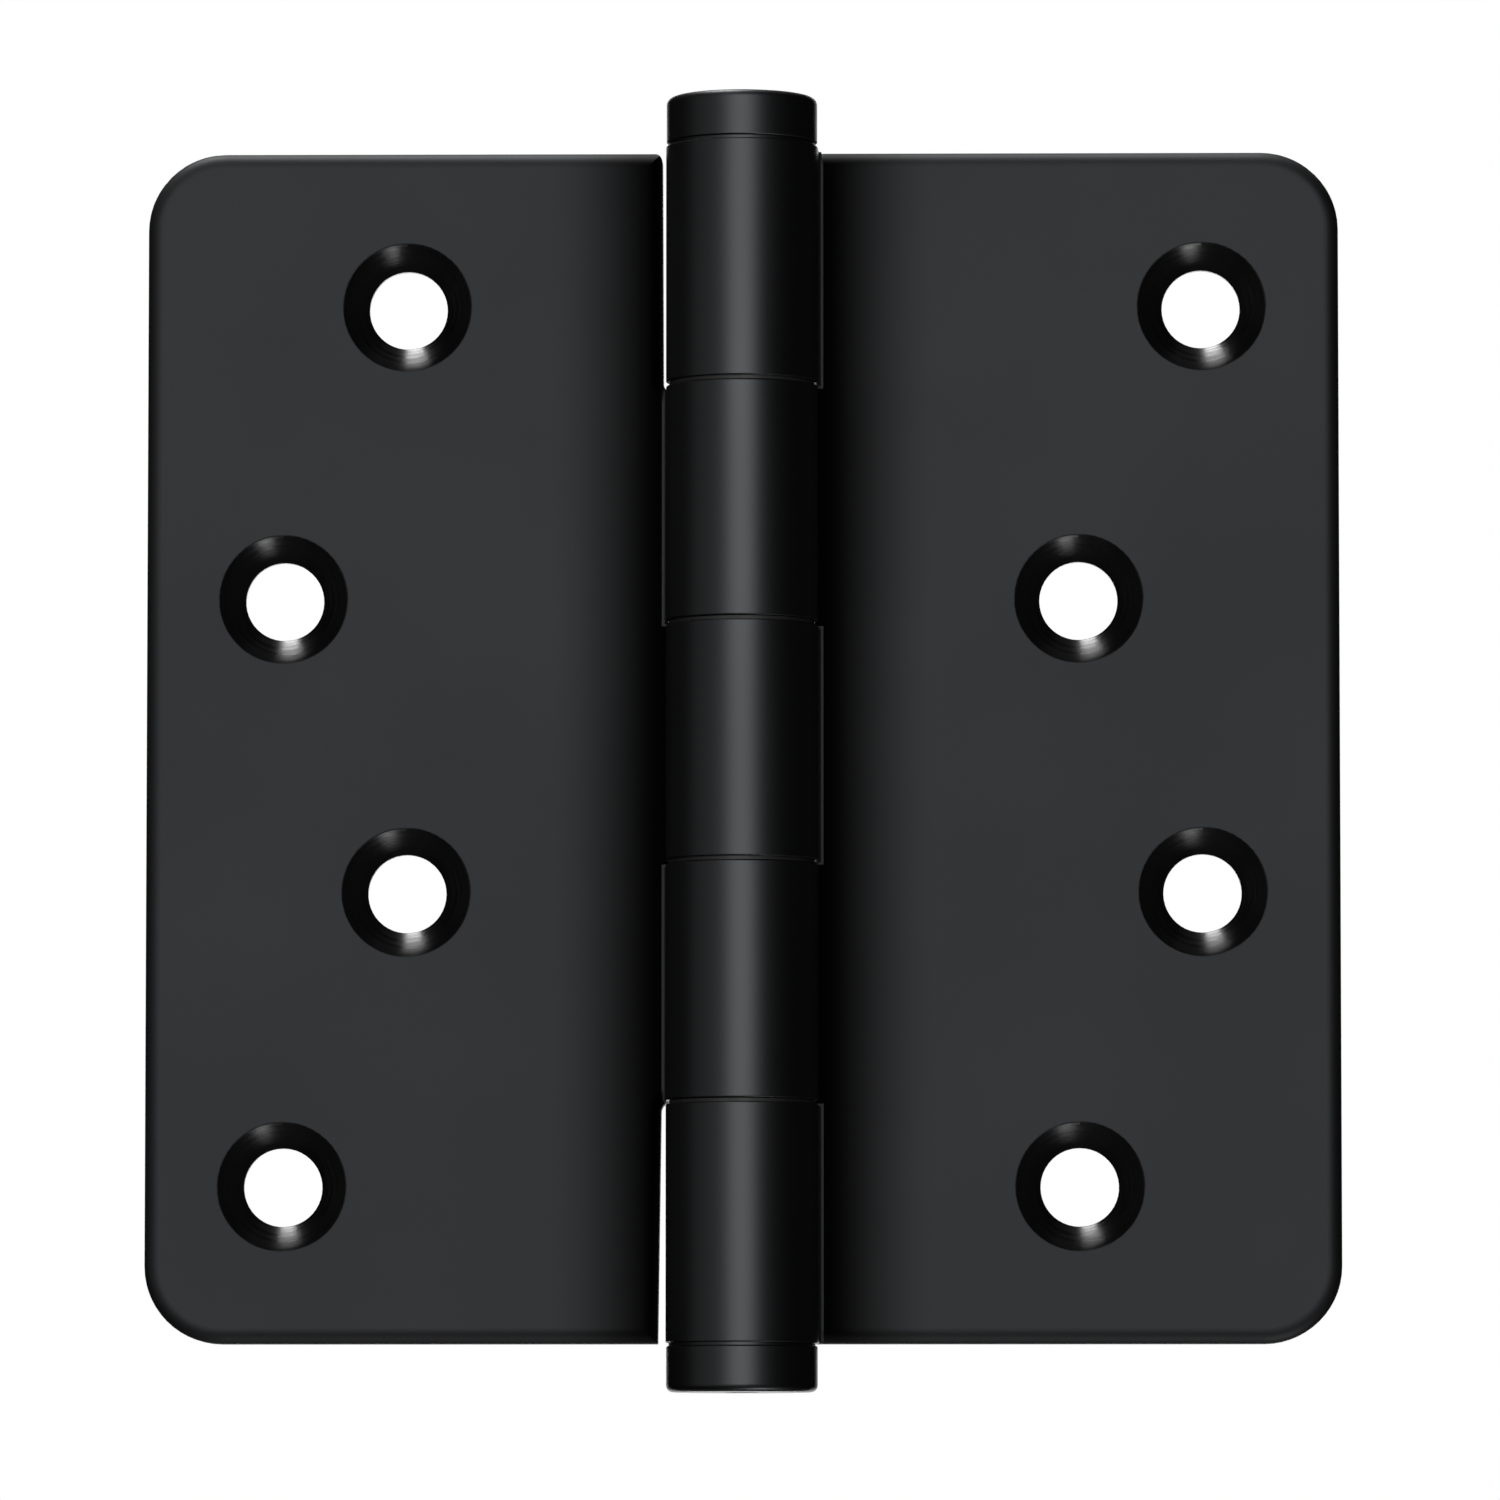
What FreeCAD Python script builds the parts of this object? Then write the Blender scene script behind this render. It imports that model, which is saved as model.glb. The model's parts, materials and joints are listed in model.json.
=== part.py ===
# Five-knuckle butt hinge with a removable pin, opened flat.
# Frame: the pin's axis is Z with +Z up, X runs across the two leaves, and the countersunk
# faces and the barrel look towards -Y. The origin is on the pin's axis at mid-height.
# The jamb leaf is on the +X side and the door leaf on the -X side. All sizes are millimetres.

import FreeCAD
import Part
import math
import os

Vector = FreeCAD.Vector
ORIGIN = Vector(0, 0, 0)
UP = Vector(0, 0, 1)
ACROSS = Vector(1, 0, 0)
BACKWARDS = Vector(0, 1, 0)

# Leaves
leaf_height = 101.6
open_width = 101.6
leaf_thickness = 3.3
corner_radius = 6.6
front_rounding = 1.3
back_rounding = 0.3
slot_corner_radius = 0.8
slot_root_radius = 0.8
edge_easing = 0.15

# Barrel
knuckle_count = 5
barrel_radius = 6.45
pin_radius = 3.175
pin_clearance = 0.05
seam_gap = 0.35
knuckle_edge_rounding = 0.12
web_draft = 0.08
web_fillet = 0.2

# Slots for the other leaf's knuckles: distance of their edge from the axis, top and bottom.
# The door leaf's end slots are cut a little wider than the rest, and not quite straight.
jamb_slots = {2: (6.2, 6.2), 4: (6.2, 6.2)}
door_slots = {1: (6.85, 6.76), 3: (6.2, 6.2), 5: (6.91, 7.2)}

# Countersunk screw holes: distances from the pin's axis, top height and pitch down the leaf
hole_radius = 3.33
countersink_radius = 5.47
countersink_angle = 82
hole_near = 28.6
hole_far = 39.1
hole_top = 37.5
hole_pitch = 25.0

# Button tips: a land carries each one, so that its rim leaves a fine seam over the knuckle
tip_radius = 6.4
tip_height = 4.15
tip_rounding = 0.6
tip_seam = 0.25
land_radius = 6.2
plug_length = 7.0
plug_clearance = 0.01
drive_hole_radius = 1.5

# Pin: a bullet nose, a ring of holding splines under the head and a stud for the top tip
pin_end_gap = 1.5
nose_length = 4.0
nose_flat_radius = 1.2
nose_bulge_radius = 2.8
nose_bulge_height = 1.7
stud_radius = 2.0
stud_length = 3.0
stud_clearance = 0.02
stud_chamfer = 0.4
spline_count = 24
spline_length = 8.0
spline_drop = 3.0
spline_rise = 0.03
spline_groove = 0.3

# Thrust washers in the seams
washer_radius = 6.15
washer_thickness = 0.3

# Cutters run past the faces they cut, and parts that are joined overlap first
overrun = 0.5
overlap = 1.7
tolerance = 0.001

# Worked out from the above
half_height = leaf_height / 2
half_width = open_width / 2
plate_front = barrel_radius - leaf_thickness
bore_radius = pin_radius + pin_clearance
knuckle_pitch = leaf_height / knuckle_count
web_foot = barrel_radius + web_draft + web_fillet
plate_root = web_foot - overlap
pin_bottom = plug_length + pin_end_gap - half_height
jamb_knuckles = tuple(door_slots)
door_knuckles = tuple(jamb_slots)


def seam_height(number):
    """Height of the middle of the seam under a knuckle, counted from the top."""
    return half_height - number * knuckle_pitch


def knuckle_span(number):
    """Low and high ends of a knuckle, which stands back from each inner seam by half its gap."""
    low = seam_height(number)
    high = low + knuckle_pitch
    if number > 1:
        high -= seam_gap / 2
    if number < knuckle_count:
        low += seam_gap / 2
    return low, high


def cylinder(radius, low, high):
    return Part.makeCylinder(radius, high - low, Vector(0, 0, low), UP)


def arc(start, middle, end):
    return Part.Arc(start, middle, end).toShape()


def polar(radius, degrees, height):
    """Point on a circle about the pin's axis, its angle taken from +X towards +Y."""
    angle = math.radians(degrees)
    return Vector(radius * math.cos(angle), radius * math.sin(angle), height)


def closed_face(edges):
    return Part.Face(Part.Wire(edges))


def plate_outline(inner_edge):
    """Front face of a leaf's plate. inner_edge is its barrel side as (x, z), from top to bottom."""
    straight = half_height - corner_radius
    reach = half_width - corner_radius
    slant = corner_radius * math.sqrt(0.5)
    points = [Vector(x, plate_front, z) for x, z in inner_edge]
    top = Vector(reach, plate_front, half_height)
    upper = Vector(half_width, plate_front, straight)
    lower = Vector(half_width, plate_front, -straight)
    bottom = Vector(reach, plate_front, -half_height)
    edges = [
        Part.makeLine(points[0], top),
        arc(top, Vector(reach + slant, plate_front, straight + slant), upper),
        Part.makeLine(upper, lower),
        arc(lower, Vector(reach + slant, plate_front, -straight - slant), bottom),
        Part.makeLine(bottom, points[-1]),
    ]
    points.reverse()
    for start, end in zip(points, points[1:]):
        edges.append(Part.makeLine(start, end))
    return closed_face(edges)


def outer_edges(solid, depth):
    """The top, bottom, side and corner edges of a plate in its face at the given depth."""
    found = []
    for edge in solid.Edges:
        box = edge.BoundBox
        in_face = abs(box.YMin - depth) < tolerance and abs(box.YMax - depth) < tolerance
        at_end = box.ZMax > half_height - tolerance or box.ZMin < tolerance - half_height
        along = box.XLength > tolerance and at_end
        at_side = box.XMin > half_width - tolerance
        if in_face and (along or at_side):
            found.append(edge)
    return found


def slot_roots(solid, inner_edge):
    """The edges in the inside corners of the slots, which run through the plate's thickness."""
    roots = []
    for x, z in inner_edge:
        if x > plate_root and abs(z) < half_height:
            roots.append(Vector(x, 0, z))
    found = []
    for edge in solid.Edges:
        box = edge.BoundBox
        foot = Vector(box.XMin, 0, box.ZMin)
        through = box.YLength > leaf_thickness - tolerance and box.XLength < tolerance
        if through and any(foot.distanceToPoint(root) < tolerance for root in roots):
            found.append(edge)
    return found


def plate(inner_edge):
    """Flat part of a leaf, its outer edges well rounded in front and eased behind."""
    slab = plate_outline(inner_edge).extrude(BACKWARDS * leaf_thickness)
    slab = slab.makeFillet(slot_root_radius, slot_roots(slab, inner_edge))
    slab = slab.makeFillet(front_rounding, outer_edges(slab, plate_front))
    return slab.makeFillet(back_rounding, outer_edges(slab, barrel_radius))


def knuckle(number):
    """A knuckle of a +X leaf: a barrel tangent to the leaf's back, with its web in front."""
    low, high = knuckle_span(number)
    slant = web_fillet * math.sqrt(0.5)
    back = polar(barrel_radius, 90, low)
    back_foot = Vector(web_foot, barrel_radius, low)
    front_foot = Vector(web_foot, plate_front, low)
    hollow = Vector(web_foot - slant, plate_front - web_fillet + slant, low)
    web_end = Vector(web_foot - web_fillet, plate_front - web_fillet, low)
    side = polar(barrel_radius, 0, low)
    front = polar(barrel_radius, 270, low)
    far_side = polar(barrel_radius, 180, low)
    edges = [
        Part.makeLine(back, back_foot),
        Part.makeLine(back_foot, front_foot),
        arc(front_foot, hollow, web_end),
        Part.makeLine(web_end, side),
        arc(side, front, far_side),
        arc(far_side, polar(barrel_radius, 135, low), back),
    ]
    solid = closed_face(edges).extrude(UP * (high - low))
    rims = [edge for edge in solid.Edges if is_rim(edge)]
    return solid.makeFillet(knuckle_edge_rounding, rims)


def is_rim(edge):
    """Whether an edge is one of the barrel's arcs on a knuckle's end face."""
    curve = edge.Curve
    return isinstance(curve, Part.Circle) and abs(curve.Radius - barrel_radius) < tolerance


def hole_axes(distances):
    """Places (x, z) of a leaf's four holes, which stand at the two distances in turn."""
    return [(distances[row % 2], hole_top - row * hole_pitch) for row in range(4)]


def screw_holes(axes):
    """Cutters for the countersunk holes."""
    slope = math.tan(math.radians(countersink_angle / 2))
    cone_depth = (countersink_radius - hole_radius) / slope
    wide_radius = countersink_radius + overrun * slope
    cutters = []
    for x, z in axes:
        front = Vector(x, plate_front - overrun, z)
        cone = Part.makeCone(wide_radius, hole_radius, cone_depth + overrun, front, BACKWARDS)
        drill = Part.makeCylinder(hole_radius, leaf_thickness + 2 * overrun, front, BACKWARDS)
        cutters.append(cone.fuse(drill))
    return Part.makeCompound(cutters)


def is_hole_edge(edge, axes):
    """Whether an edge is a full circle round one of the screw holes' axes, given as (x, z)."""
    curve = edge.Curve
    if not isinstance(curve, Part.Circle) or not edge.Closed:
        return False
    centre = curve.Center
    return any(math.hypot(centre.x - x, centre.z - z) < tolerance for x, z in axes)


def leaf(knuckles, slots, distances):
    """A whole leaf on the +X side: plate and knuckles in one, bored for the pin and drilled."""
    body = plate(inner_edge(knuckles, slots)).fuse([knuckle(number) for number in knuckles])
    body = body.removeSplitter()
    body = body.cut(cylinder(bore_radius, -half_height - overrun, half_height + overrun))
    axes = hole_axes(distances)
    body = body.cut(screw_holes(axes)).removeSplitter()
    return body.makeFillet(edge_easing, [edge for edge in body.Edges if is_hole_edge(edge, axes)])


def inner_edge(knuckles, slots):
    """Barrel side of a plate, from top to bottom: roots of its own knuckles, slots for the others."""
    points = []
    for number in range(1, knuckle_count + 1):
        if number in knuckles:
            low, high = knuckle_span(number)
            edge_high, edge_low = plate_root, plate_root
        else:
            high = knuckle_span(number - 1)[0] if number > 1 else half_height
            low = knuckle_span(number + 1)[1] if number < knuckle_count else -half_height
            edge_high, edge_low = slots[number]
        points.append((edge_high, high))
        points.append((edge_low, low))
    return points


def jamb_leaf():
    return leaf(jamb_knuckles, jamb_slots, (hole_far, hole_near))


def door_leaf():
    """Built on the +X side and mirrored. Its top corner beside the barrel is rounded off."""
    body = leaf(door_knuckles, door_slots, (hole_near, hole_far))
    r = slot_corner_radius
    corner = Vector(door_slots[1][0], plate_front, half_height - r)
    block = Part.makeBox(r + overrun, leaf_thickness, r + overrun, corner - ACROSS * overrun)
    rounding = Part.makeCylinder(r, leaf_thickness, corner + ACROSS * r, BACKWARDS)
    return body.cut(block.cut(rounding)).mirror(ORIGIN, ACROSS)


def turned(edges):
    """Solid of revolution about the pin's axis from the edges of a closed outline."""
    return closed_face(edges).revolve(ORIGIN, UP, 360)


def outline(points):
    """Straight edges through (radius, height) points."""
    corners = [Vector(radius, 0, height) for radius, height in points]
    return [Part.makeLine(start, end) for start, end in zip(corners, corners[1:])]


def hinge_pin():
    """Steel pin: bullet nose, plain shank, splines that hold it in the top knuckle, stud above."""
    shoulder = half_height
    nose_top = pin_bottom + nose_length
    stud_top = shoulder + stud_length
    sides = outline(
        [
            (pin_radius, nose_top),
            (pin_radius, shoulder),
            (stud_radius, shoulder),
            (stud_radius, stud_top - stud_chamfer),
            (stud_radius - stud_chamfer, stud_top),
            (0, stud_top),
            (0, pin_bottom),
            (nose_flat_radius, pin_bottom),
        ]
    )
    bulge = Vector(nose_bulge_radius, 0, pin_bottom + nose_bulge_height)
    nose = arc(Vector(nose_flat_radius, 0, pin_bottom), bulge, Vector(pin_radius, 0, nose_top))
    return turned(sides + [nose]).fuse(splines(shoulder - spline_drop)).removeSplitter()


def splines(top):
    """A ring of fine upright ridges that stand a little proud of the shank."""
    crest = pin_radius + spline_rise
    root = crest - spline_groove
    half_step = 180 / spline_count
    bottom = top - spline_length
    corners = []
    for index in range(spline_count):
        corners.append(polar(crest, 2 * index * half_step, bottom))
        corners.append(polar(root, (2 * index + 1) * half_step, bottom))
    return Part.Face(Part.makePolygon(corners + corners[:1])).extrude(UP * spline_length)


def top_button_tip():
    """Flat button that screws on the pin's stud and rests on the top knuckle by its land."""
    base = half_height
    top = base + tip_height
    rim = base + tip_seam
    socket = stud_radius + stud_clearance
    socket_top = base + stud_length + stud_clearance
    sides = outline(
        [
            (tip_radius - tip_rounding, top),
            (0, top),
            (0, socket_top),
            (socket, socket_top),
            (socket, base),
            (land_radius, base),
            (land_radius, rim),
            (tip_radius - knuckle_edge_rounding, rim),
            (tip_radius, rim + knuckle_edge_rounding),
            (tip_radius, top - tip_rounding),
        ]
    )
    return turned(sides + [tip_edge(top, -1)])


def tip_edge(end, inwards):
    """Rounded edge of a tip between its flat end and its side; inwards is +1 if the end is lowest."""
    centre = Vector(tip_radius - tip_rounding, 0, end + inwards * tip_rounding)
    slant = tip_rounding * math.sqrt(0.5)
    side = centre + ACROSS * tip_rounding
    middle = centre + Vector(slant, 0, -inwards * slant)
    flat = centre - UP * (inwards * tip_rounding)
    return arc(side, middle, flat)


def bottom_button_tip():
    """Flat button whose plug is pressed into the bottom knuckle, bored through to drive the pin out."""
    base = -half_height
    bottom = base - tip_height
    rim = base - tip_seam
    plug_radius = bore_radius - plug_clearance
    sides = outline(
        [
            (tip_radius - tip_rounding, bottom),
            (drive_hole_radius, bottom),
            (drive_hole_radius, base + plug_length),
            (plug_radius - stud_chamfer, base + plug_length),
            (plug_radius, base + plug_length - stud_chamfer),
            (plug_radius, base),
            (land_radius, base),
            (land_radius, rim),
            (tip_radius - knuckle_edge_rounding, rim),
            (tip_radius, rim - knuckle_edge_rounding),
            (tip_radius, bottom + tip_rounding),
        ]
    )
    return turned(sides + [tip_edge(bottom, 1)])


def knuckle_washer(seam):
    """Thrust washer under or over the jamb leaf's knuckle in a seam, counted from the top."""
    half_gap = seam_gap / 2
    low = seam_height(seam) - half_gap
    if seam in jamb_knuckles:
        low = seam_height(seam) + half_gap - washer_thickness
    high = low + washer_thickness
    bore = cylinder(bore_radius, low - overrun, high + overrun)
    return cylinder(washer_radius, low, high).cut(bore)


parts = {
    "jamb_leaf": jamb_leaf(),
    "door_leaf": door_leaf(),
    "hinge_pin": hinge_pin(),
    "top_button_tip": top_button_tip(),
    "bottom_button_tip": bottom_button_tip(),
}
for seam in range(1, knuckle_count):
    parts[f"knuckle_washer_{seam}"] = knuckle_washer(seam)

os.makedirs("parts", exist_ok=True)
for node, shape in parts.items():
    shape.exportStep(f"parts/{node}.step")
    box = shape.BoundBox
    print(node, shape.isValid(), len(shape.Solids), round(shape.Volume, 1), box)
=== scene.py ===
"""Looks of a black five-knuckle butt hinge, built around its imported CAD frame."""

import json
import math

import bpy
from mathutils import Matrix, Vector

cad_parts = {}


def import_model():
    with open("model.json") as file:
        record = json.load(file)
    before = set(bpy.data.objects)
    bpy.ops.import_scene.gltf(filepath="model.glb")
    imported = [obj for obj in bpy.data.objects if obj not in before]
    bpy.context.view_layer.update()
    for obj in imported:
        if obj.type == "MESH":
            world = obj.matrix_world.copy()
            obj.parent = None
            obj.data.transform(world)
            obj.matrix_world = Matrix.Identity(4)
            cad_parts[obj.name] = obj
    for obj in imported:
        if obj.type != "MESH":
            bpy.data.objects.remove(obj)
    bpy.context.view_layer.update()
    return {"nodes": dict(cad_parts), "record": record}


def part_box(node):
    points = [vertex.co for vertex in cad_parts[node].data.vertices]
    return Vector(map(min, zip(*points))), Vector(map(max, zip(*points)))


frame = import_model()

MM = 0.001

# Sizes of the CAD part that the frame doesn't list
leaf_thickness = 3.3 * MM
knuckle_count = 5
countersink_radius = 5.47 * MM
countersink_flank = math.radians(82 / 2)

# Places taken from the frame: leaf faces, barrel and the lattice of screw holes
leaf_low, leaf_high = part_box("jamb_leaf")
barrel_radius = leaf_high.y
plate_front = barrel_radius - leaf_thickness
knuckle_pitch = (leaf_high.z - leaf_low.z) / knuckle_count
patterns = [mount for mount in frame["record"]["mounts"] if mount["kind"] == "bolt_pattern"]
hole_near = min(abs(mount["pos_m"][0]) for mount in patterns)
hole_far = max(abs(mount["pos_m"][0]) for mount in patterns)
hole_pitch = patterns[0]["dims"]["spacing_y_mm"] * MM / 2
hole_radius = patterns[0]["dims"]["hole_r_mm"] * MM

BLACK = (0, 0, 0, 1)


# ---------------------------------------------------------------- node helpers


class Nodes:
    """A node tree with short calls for the nodes that the materials here are made of."""

    def __init__(self, tree):
        self.tree = tree
        tree.nodes.clear()

    def add(self, kind, **settings):
        node = self.tree.nodes.new(kind)
        for name, value in settings.items():
            setattr(node, name, value)
        return node

    def feed(self, socket, value):
        """Links an output to the socket, or sets the socket to a plain value."""
        if isinstance(value, bpy.types.NodeSocket):
            self.tree.links.new(value, socket)
        else:
            socket.default_value = value

    def math(self, operation, first, second=0.0, third=0.0):
        node = self.add("ShaderNodeMath", operation=operation)
        for socket, value in zip(node.inputs, (first, second, third)):
            self.feed(socket, value)
        return node.outputs[0]

    def product(self, first, *others):
        """Several values multiplied together."""
        for other in others:
            first = self.math("MULTIPLY", first, other)
        return first

    def length(self, first, second):
        """Length of a vector of two components."""
        squares = self.math("MULTIPLY_ADD", first, first, self.math("MULTIPLY", second, second))
        return self.math("SQRT", squares)

    def vector(self, x=0.0, y=0.0, z=0.0):
        node = self.add("ShaderNodeCombineXYZ")
        for socket, value in zip(node.inputs, (x, y, z)):
            self.feed(socket, value)
        return node.outputs[0]

    def into_world(self, kind, vector):
        """Turns a direction given in the object's frame, a VECTOR or a NORMAL, into the world's."""
        node = self.add(
            "ShaderNodeVectorTransform", vector_type=kind, convert_from="OBJECT", convert_to="WORLD"
        )
        self.feed(node.inputs[0], vector)
        return node.outputs[0]

    def ramp(self, value, low, high, out_low=0.0, out_high=1.0):
        """Smooth step of a value from one output to another."""
        node = self.add("ShaderNodeMapRange", interpolation_type="SMOOTHSTEP")
        for name, given in (
            ("Value", value),
            ("From Min", low),
            ("From Max", high),
            ("To Min", out_low),
            ("To Max", out_high),
        ):
            self.feed(node.inputs[name], given)
        return node.outputs["Result"]

    def noise(self, vector, scale, detail=2.0):
        node = self.add("ShaderNodeTexNoise")
        self.feed(node.inputs["Vector"], vector)
        node.inputs["Scale"].default_value = scale
        node.inputs["Detail"].default_value = detail
        return node.outputs["Fac"]

    def mix(self, factor, first, second):
        node = self.add("ShaderNodeMix", data_type="RGBA")
        self.feed(node.inputs["Factor"], factor)
        self.feed(node.inputs[6], first)
        self.feed(node.inputs[7], second)
        return node.outputs[2]

    def bump(self, height, distance, normal=None):
        node = self.add("ShaderNodeBump")
        self.feed(node.inputs["Height"], height)
        node.inputs["Distance"].default_value = distance
        if normal is not None:
            self.feed(node.inputs["Normal"], normal)
        return node.outputs["Normal"]


def new_material(name):
    material = bpy.data.materials.new(name)
    material.use_nodes = True
    nodes = Nodes(material.node_tree)
    output = nodes.add("ShaderNodeOutputMaterial")
    shader = nodes.add("ShaderNodeBsdfPrincipled")
    nodes.feed(output.inputs["Surface"], shader.outputs[0])
    return material, nodes, shader


def object_place(nodes):
    """Where a point lies in its object's own frame, which is the CAD's, in metres."""
    return nodes.add("ShaderNodeTexCoord").outputs["Object"]


def split(nodes, place):
    """The three coordinates of a place."""
    parts = nodes.add("ShaderNodeSeparateXYZ")
    nodes.feed(parts.inputs[0], place)
    return parts.outputs["X"], parts.outputs["Y"], parts.outputs["Z"]


# ----------------------------------------------------------------- powder coat


def powder_coat():
    """Satin black powder coat: finely pebbled, sleeker round the barrel than on the leaves.

    Its colour and specular tint are darkened in the corner beside the barrel: painted shade.
    """
    dark, pale = (0.0010, 0.0010, 0.0011, 1), (0.0018, 0.0018, 0.0020, 1)
    painted_shade_colour = (0.0003, 0.0003, 0.0003, 1)
    barrel_gloss, leaf_gloss = (0.925, 0.955, 1.0, 1), (0.811, 0.838, 0.877, 1)
    barrel_roughness, leaf_roughness, unevenness = 0.42, 0.6, 0.03
    grain_height = 0.0015 * MM

    material, nodes, shader = new_material("black_powder_coat_finish")
    place = object_place(nodes)
    x, y, z = split(nodes, place)
    cloud = nodes.noise(place, 45.0, 3.0)
    # Painted shade: a mask that darkens the corner between each leaf and the barrel.
    painted_shade = corner_painted_shade(nodes, x, y, z)
    colour = nodes.mix(cloud, dark, pale)
    # Painted shade: the base colour goes nearly black in that corner.
    nodes.feed(shader.inputs["Base Color"], nodes.mix(painted_shade, colour, painted_shade_colour))

    leaf = nodes.ramp(nodes.length(x, y), barrel_radius + 0.1 * MM, barrel_radius + 0.5 * MM)
    gloss = nodes.mix(leaf, barrel_gloss, leaf_gloss)
    # Painted shade: the specular tint goes to black in that corner, so it shows no reflection there.
    nodes.feed(shader.inputs["Specular Tint"], nodes.mix(painted_shade, gloss, BLACK))
    shader.inputs["Specular IOR Level"].default_value = 0.57
    roughness = nodes.math("MULTIPLY_ADD", leaf, leaf_roughness - barrel_roughness, barrel_roughness)
    patchy = nodes.math("MULTIPLY_ADD", cloud, 2 * unevenness, -unevenness)
    nodes.feed(shader.inputs["Roughness"], nodes.math("ADD", roughness, patchy))

    grain = nodes.bump(nodes.noise(place, 9000.0), grain_height)
    pebbles = nodes.bump(nodes.noise(place, 2600.0), grain_height, grain)
    nodes.feed(shader.inputs["Normal"], pebbles)
    return material


def corner_painted_shade(nodes, x, y, z):
    """Mask of painted shade: nearly 1 in the corner between a leaf's front face and the barrel, 0
    beyond about 10 mm.

    A leaf's own knuckles end in a narrow bright bead, which the painted shade leaves out; the other
    leaf's slots don't have it.
    """
    bead_width = 0.42 * MM
    aside = nodes.math("ABSOLUTE", x)
    near = nodes.ramp(aside, barrel_radius + 0.6 * MM, barrel_radius + 10.2 * MM, 0.98, 0.0)
    on_face = nodes.ramp(y, plate_front - 0.03 * MM, plate_front - 0.01 * MM)
    behind = nodes.ramp(y, plate_front + 0.4 * MM, plate_front + 1.2 * MM, 1.0, 0.0)
    off_barrel = nodes.math("GREATER_THAN", aside, barrel_radius - 0.3 * MM)

    below_top = nodes.math("SUBTRACT", leaf_high.z, z)
    number = nodes.math("FLOOR", nodes.math("DIVIDE", below_top, knuckle_pitch))
    parity = nodes.math("FLOORED_MODULO", number, 2.0)
    on_right = nodes.math("GREATER_THAN", x, 0.0)
    own_knuckle = nodes.math("ABSOLUTE", nodes.math("SUBTRACT", parity, on_right))
    at_root = nodes.math("LESS_THAN", aside, barrel_radius + bead_width)
    off_bead = nodes.math("SUBTRACT", 1.0, nodes.math("MULTIPLY", own_knuckle, at_root))
    return nodes.product(near, on_face, behind, off_barrel, off_bead)


# ---------------------------------------------------------------- countersinks


def hole_coordinates(nodes, x, z):
    """How far a point lies across and up from the axis of the nearest screw hole."""
    middle = (hole_far + hole_near) / 2
    swing = (hole_far - hole_near) / 2
    half = hole_pitch / 2
    up = nodes.math("WRAP", nodes.math("SUBTRACT", z, half), half, -half)
    row = nodes.math("FLOOR", nodes.math("DIVIDE", z, hole_pitch))
    odd = nodes.math("FLOORED_MODULO", row, 2.0)
    offset = nodes.math("MULTIPLY_ADD", odd, 2 * swing, -swing)
    side = nodes.math("MULTIPLY", nodes.math("SIGN", x), middle)
    across = nodes.math("SUBTRACT", nodes.math("SUBTRACT", x, side), offset)
    return across, up


def cutter_marks(nodes, across, up, distance):
    """Noise drawn out into rings round the hole's axis."""
    rings_per_metre = 4200.0
    change_around = 0.8
    angle = nodes.math("ARCTAN2", up, across)
    rings = nodes.vector(
        nodes.math("MULTIPLY", distance, rings_per_metre),
        nodes.math("MULTIPLY", nodes.math("SINE", angle), change_around),
        nodes.math("MULTIPLY", nodes.math("COSINE", angle), change_around),
    )
    return nodes.noise(rings, 1.0, 3.0)


def direction_around(nodes, across, up):
    """The way that the cutter ran, at right angles to the line from the hole's axis."""
    around = nodes.vector(x=nodes.math("MULTIPLY", up, -1.0), z=across)
    unit = nodes.add("ShaderNodeVectorMath", operation="NORMALIZE")
    nodes.feed(unit.inputs[0], nodes.into_world("VECTOR", around))
    return unit.outputs[0]


def countersink_normal(nodes, across, up, distance):
    """True normal of the cut cone, and the mesh's own at its lip and in the bore below it."""
    inwards = nodes.math("DIVIDE", -math.cos(countersink_flank), distance)
    exact = nodes.vector(
        nodes.math("MULTIPLY", across, inwards),
        -math.sin(countersink_flank),
        nodes.math("MULTIPLY", up, inwards),
    )
    above_bore = nodes.ramp(distance, hole_radius + 0.02 * MM, hole_radius + 0.07 * MM)
    lip_start, lip_end = countersink_radius - 0.27 * MM, countersink_radius - 0.17 * MM
    inside_lip = nodes.ramp(distance, lip_start, lip_end, 1.0, 0.0)
    blend = nodes.add("ShaderNodeMix", data_type="VECTOR")
    nodes.feed(blend.inputs["Factor"], nodes.math("MULTIPLY", above_bore, inside_lip))
    nodes.feed(blend.inputs[4], nodes.add("ShaderNodeNewGeometry").outputs["Normal"])
    nodes.feed(blend.inputs[5], nodes.into_world("NORMAL", exact))
    return blend.outputs[1]


def turned_countersink():
    """Countersinks: turned steel under black oxide, with the cutter's marks running round."""
    dark, pale = (0.0002, 0.0002, 0.0002, 1), (0.0008, 0.0008, 0.0008, 1)
    material, nodes, shader = new_material("turned_countersink")
    x, _, z = split(nodes, object_place(nodes))
    across, up = hole_coordinates(nodes, x, z)
    distance = nodes.length(across, up)
    marks = cutter_marks(nodes, across, up, distance)
    nodes.feed(shader.inputs["Base Color"], nodes.mix(marks, dark, pale))
    nodes.feed(shader.inputs["Roughness"], nodes.ramp(marks, 0.3, 0.7, 0.25, 0.35))
    shader.inputs["Specular IOR Level"].default_value = 0.42
    shader.inputs["Anisotropic"].default_value = 0.45
    shader.inputs["Anisotropic Rotation"].default_value = 0.25
    nodes.feed(shader.inputs["Tangent"], direction_around(nodes, across, up))
    normal = countersink_normal(nodes, across, up, distance)
    nodes.feed(shader.inputs["Normal"], nodes.bump(marks, 0.003 * MM, normal))
    return material


# ----------------------------------------------------- pin steel, washer nylon


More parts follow.
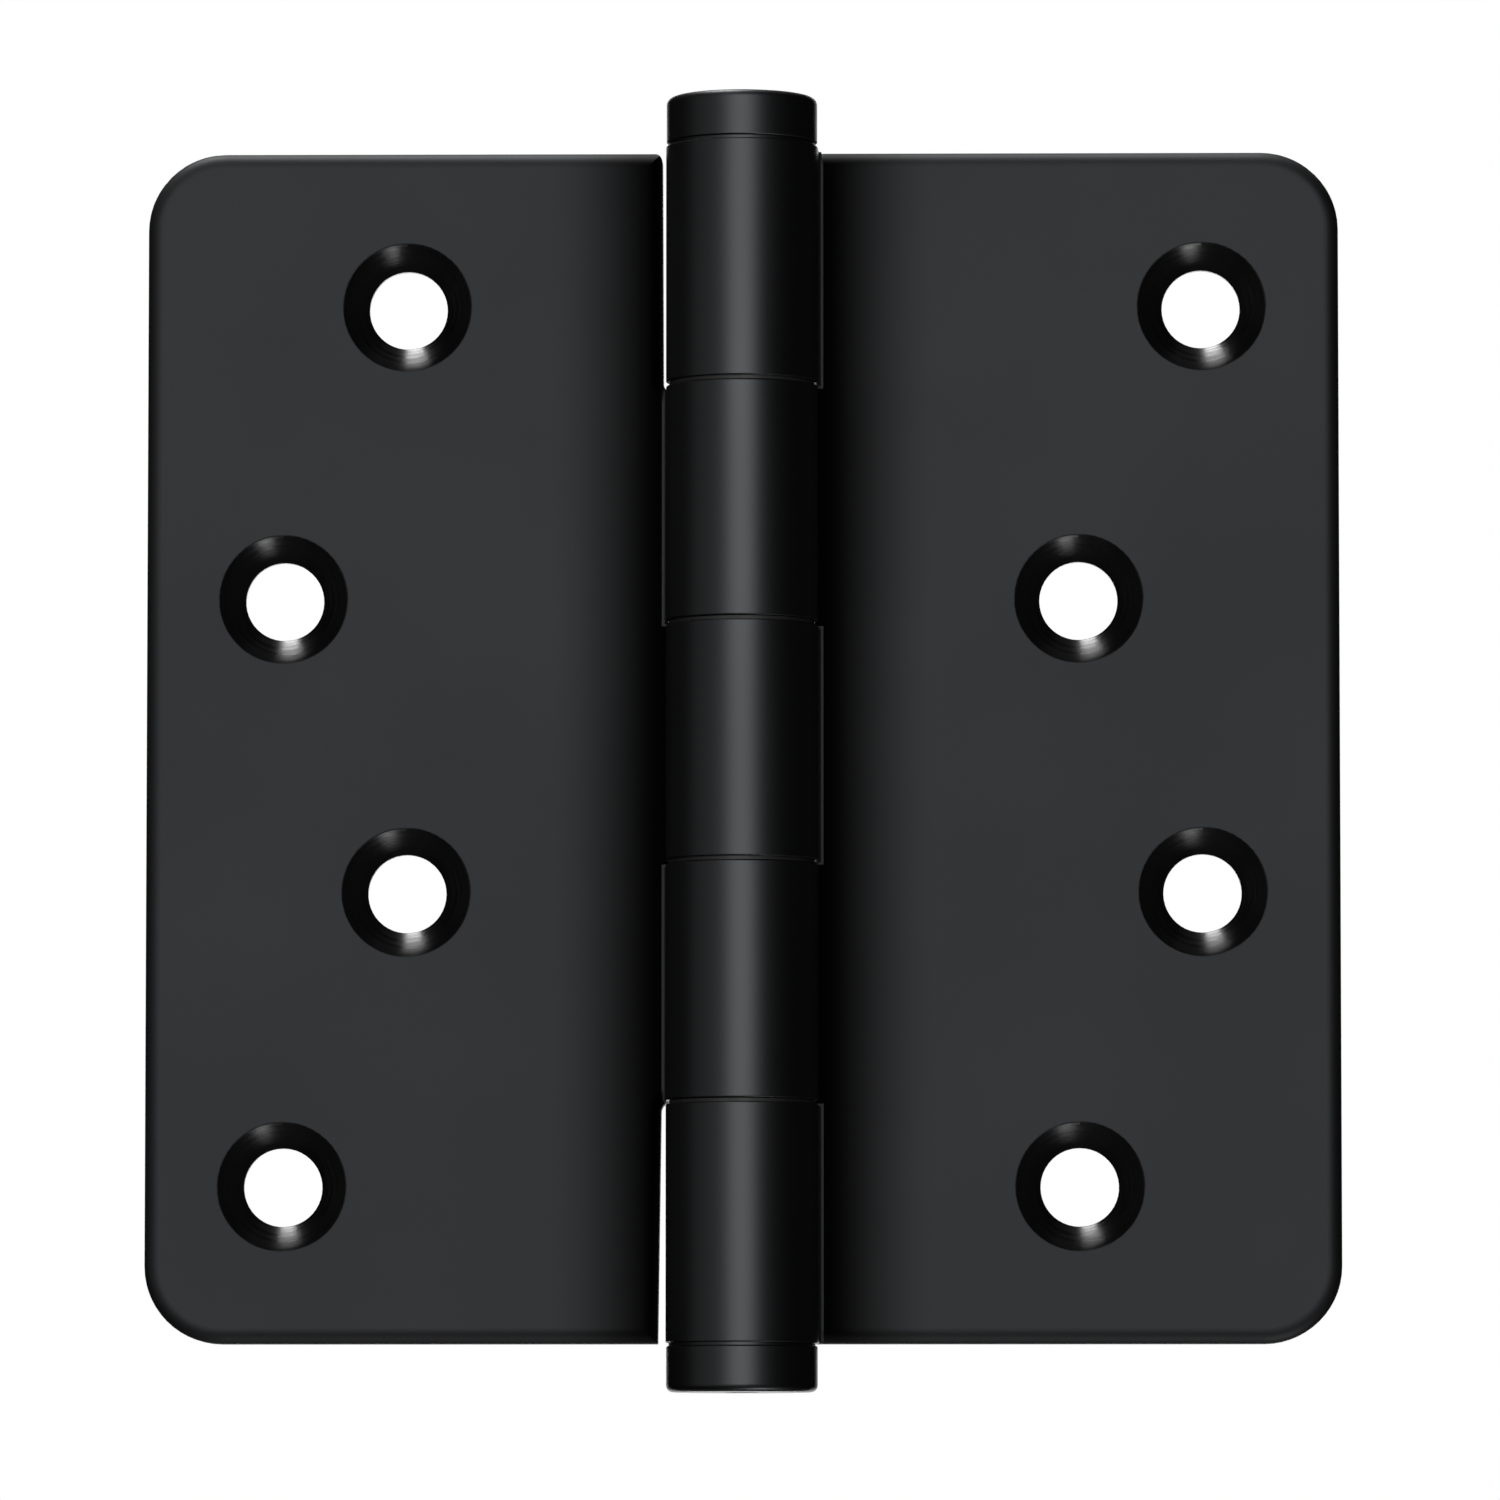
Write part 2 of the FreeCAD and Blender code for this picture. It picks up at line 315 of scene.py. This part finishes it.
def steel():
    """Bare ground steel of the pin, with faint marks running round it."""
    dark, pale = (0.46, 0.455, 0.45, 1), (0.62, 0.615, 0.605, 1)
    stained = (0.34, 0.32, 0.30, 1)
    material, nodes, shader = new_material("ground_steel")
    place = object_place(nodes)
    x, y, z = split(nodes, place)
    lines = nodes.vector(
        nodes.math("MULTIPLY", x, 250.0),
        nodes.math("MULTIPLY", y, 250.0),
        nodes.math("MULTIPLY", z, 9000.0),
    )
    marks = nodes.noise(lines, 1.0, 3.0)
    stain = nodes.ramp(nodes.noise(place, 120.0, 3.0), 0.5, 0.75)
    colour = nodes.mix(stain, nodes.mix(marks, dark, pale), stained)
    nodes.feed(shader.inputs["Base Color"], colour)
    shader.inputs["Metallic"].default_value = 1.0
    nodes.feed(shader.inputs["Roughness"], nodes.ramp(marks, 0.3, 0.7, 0.22, 0.34))
    nodes.feed(shader.inputs["Normal"], nodes.bump(marks, 0.002 * MM))
    return material


def nylon():
    """Moulded black nylon of the washers: dull, with a fine tool texture."""
    dark, pale = (0.006, 0.006, 0.006, 1), (0.012, 0.012, 0.012, 1)
    material, nodes, shader = new_material("black_nylon_finish")
    place = object_place(nodes)
    cloud = nodes.noise(place, 800.0)
    nodes.feed(shader.inputs["Base Color"], nodes.mix(cloud, dark, pale))
    nodes.feed(shader.inputs["Roughness"], nodes.ramp(cloud, 0.3, 0.7, 0.5, 0.62))
    nodes.feed(shader.inputs["Normal"], nodes.bump(nodes.noise(place, 7000.0), 0.002 * MM))
    return material


# ------------------------------------------------------- finishes on the nodes


def screw_axes():
    """Places (x, z) of the screw holes, from the record's bolt patterns."""
    return [
        (mount["pos_m"][0], mount["pos_m"][2] + half)
        for mount in patterns
        for half in (-hole_pitch, hole_pitch)
    ]


def mark_countersinks(node, finish):
    """Gives the faces inside the screw holes their own finish."""
    mesh = node.data
    mesh.materials.append(finish)
    slot = len(mesh.materials) - 1
    reach = countersink_radius + 0.13 * MM
    skin = 0.03 * MM
    axes = screw_axes()
    for face in mesh.polygons:
        centre = face.center
        inside = any(math.hypot(centre.x - x, centre.z - z) < reach for x, z in axes)
        if inside and plate_front + skin < centre.y < barrel_radius - skin:
            face.material_index = slot


def finish_nodes():
    """Puts the finishes on the CAD nodes, by the record's material slots."""
    finishes = {"black_powder_coat": powder_coat(), "pin_steel": steel(), "black_nylon": nylon()}
    for part in frame["record"]["subparts"]:
        materials = frame["nodes"][part["node"]].data.materials
        for index in range(len(materials)):
            materials[index] = finishes[part["material_slot"]]
    countersink = turned_countersink()
    for name in ("jamb_leaf", "door_leaf"):
        mark_countersinks(frame["nodes"][name], countersink)


# ---------------------------------------------------------------------- stage


def facing_hinge(place):
    """Turns a light towards the hinge, with its width as nearly along X as that allows."""
    back = Vector(place).normalized()
    side = (Vector((1, 0, 0)) - back * back.x).normalized()
    return Matrix((side, back.cross(side), back)).transposed().to_euler()


def softbox(name, size, place, radiance):
    """A rectangular studio light that the camera doesn't see, as bright all over as it says."""
    width, height = size
    light = bpy.data.lights.new(name, "AREA")
    light.shape = "RECTANGLE"
    light.size = width
    light.size_y = height
    light.energy = math.pi * width * height * radiance
    lamp = bpy.data.objects.new(name, light)
    bpy.context.scene.collection.objects.link(lamp)
    lamp.location = place
    lamp.rotation_euler = facing_hinge(place)
    lamp.visible_camera = False


def lights():
    """Soft front light for leaves and barrel, streaks in the countersinks, and a soft back."""
    softbox("front_core", (1.02, 1.1), (0.0, -1.6, 0.2), 3.65)
    softbox("front_halo", (1.5, 1.2), (-0.12, -1.65, 0.15), 0.4)
    softbox("left_panel", (1.5, 1.4), (-1.25, -0.95, 0.1), 0.36)
    softbox("overhead_bank", (0.5, 1.7), (-0.26, -0.68, 1.15), 1.0)
    softbox("overhead_core", (0.85, 0.65), (-0.5, 0.6, 2.5), 28.0)
    softbox("underlight", (0.6, 0.45), (0.68, -0.3, -2.5), 18.0)
    softbox("rear_main", (1.2, 1.6), (0.0, 1.7, 0.0), 2.5)
    softbox("rear_top", (1.2, 0.8), (0.2, 1.1, 1.4), 0.3)
    softbox("rear_low", (1.0, 0.8), (-0.2, 0.9, -1.2), 0.15)


def show_above_only(material, nodes, shader):
    """Lets the floor be looked through from underneath, so that the object shows there too."""
    output = next(node for node in material.node_tree.nodes if node.type == "OUTPUT_MATERIAL")
    mix = nodes.add("ShaderNodeMixShader")
    nodes.feed(mix.inputs[0], nodes.add("ShaderNodeNewGeometry").outputs["Backfacing"])
    nodes.feed(mix.inputs[1], shader.outputs[0])
    nodes.feed(mix.inputs[2], nodes.add("ShaderNodeBsdfTransparent").outputs[0])
    nodes.feed(output.inputs["Surface"], mix.outputs[0])


def floor():
    """Plain pale floor well under the hinge, which takes no part in lighting it."""
    reach = 6.0
    depth = 0.16
    mesh = bpy.data.meshes.new("studio_floor")
    corners = [(-reach, -reach, 0), (reach, -reach, 0), (reach, reach, 0), (-reach, reach, 0)]
    mesh.from_pydata(corners, [], [(0, 1, 2, 3)])
    plane = bpy.data.objects.new("studio_floor", mesh)
    bpy.context.scene.collection.objects.link(plane)
    plane.location = (0, 0, -depth)
    material, nodes, shader = new_material("pale_floor")
    shader.inputs["Base Color"].default_value = (0.3, 0.3, 0.3, 1)
    shader.inputs["Roughness"].default_value = 0.8
    shader.inputs["Specular IOR Level"].default_value = 0.0
    shader.inputs["Emission Color"].default_value = (1, 1, 1, 1)
    shader.inputs["Emission Strength"].default_value = 0.92
    show_above_only(material, nodes, shader)
    mesh.materials.append(material)
    plane.visible_glossy = False
    plane.visible_diffuse = False
    plane.visible_shadow = False


def world():
    """White behind the object, and a dim room for everything but the camera."""
    scene = bpy.context.scene
    scene.world = bpy.data.worlds.new("studio")
    scene.world.use_nodes = True
    nodes = Nodes(scene.world.node_tree)
    output = nodes.add("ShaderNodeOutputWorld")
    seen = nodes.add("ShaderNodeBackground")
    seen.inputs["Color"].default_value = (1, 1, 1, 1)
    room = nodes.add("ShaderNodeBackground")
    room.inputs["Color"].default_value = (0.004, 0.004, 0.004, 1)
    mix = nodes.add("ShaderNodeMixShader")
    nodes.feed(mix.inputs[0], nodes.add("ShaderNodeLightPath").outputs["Is Camera Ray"])
    nodes.feed(mix.inputs[1], room.outputs[0])
    nodes.feed(mix.inputs[2], seen.outputs[0])
    nodes.feed(output.inputs["Surface"], mix.outputs[0])


def camera():
    """Long lens a little below the middle of the hinge, looking up at it."""
    place = Vector((15 * MM, -880 * MM, -68 * MM))
    aim = Vector((0.63 * MM, 3.15 * MM, -0.4 * MM))
    view_width = 127.5 * MM
    data = bpy.data.cameras.new("camera")
    data.sensor_width = 36
    data.lens = data.sensor_width * (aim - place).length / view_width
    data.clip_start = 0.01
    data.clip_end = 100
    eye = bpy.data.objects.new("camera", data)
    bpy.context.scene.collection.objects.link(eye)
    eye.location = place
    eye.rotation_euler = (aim - place).to_track_quat("-Z", "Y").to_euler()
    bpy.context.scene.camera = eye


finish_nodes()
floor()
world()
camera()
lights()
bpy.context.scene.view_settings.view_transform = "Standard"
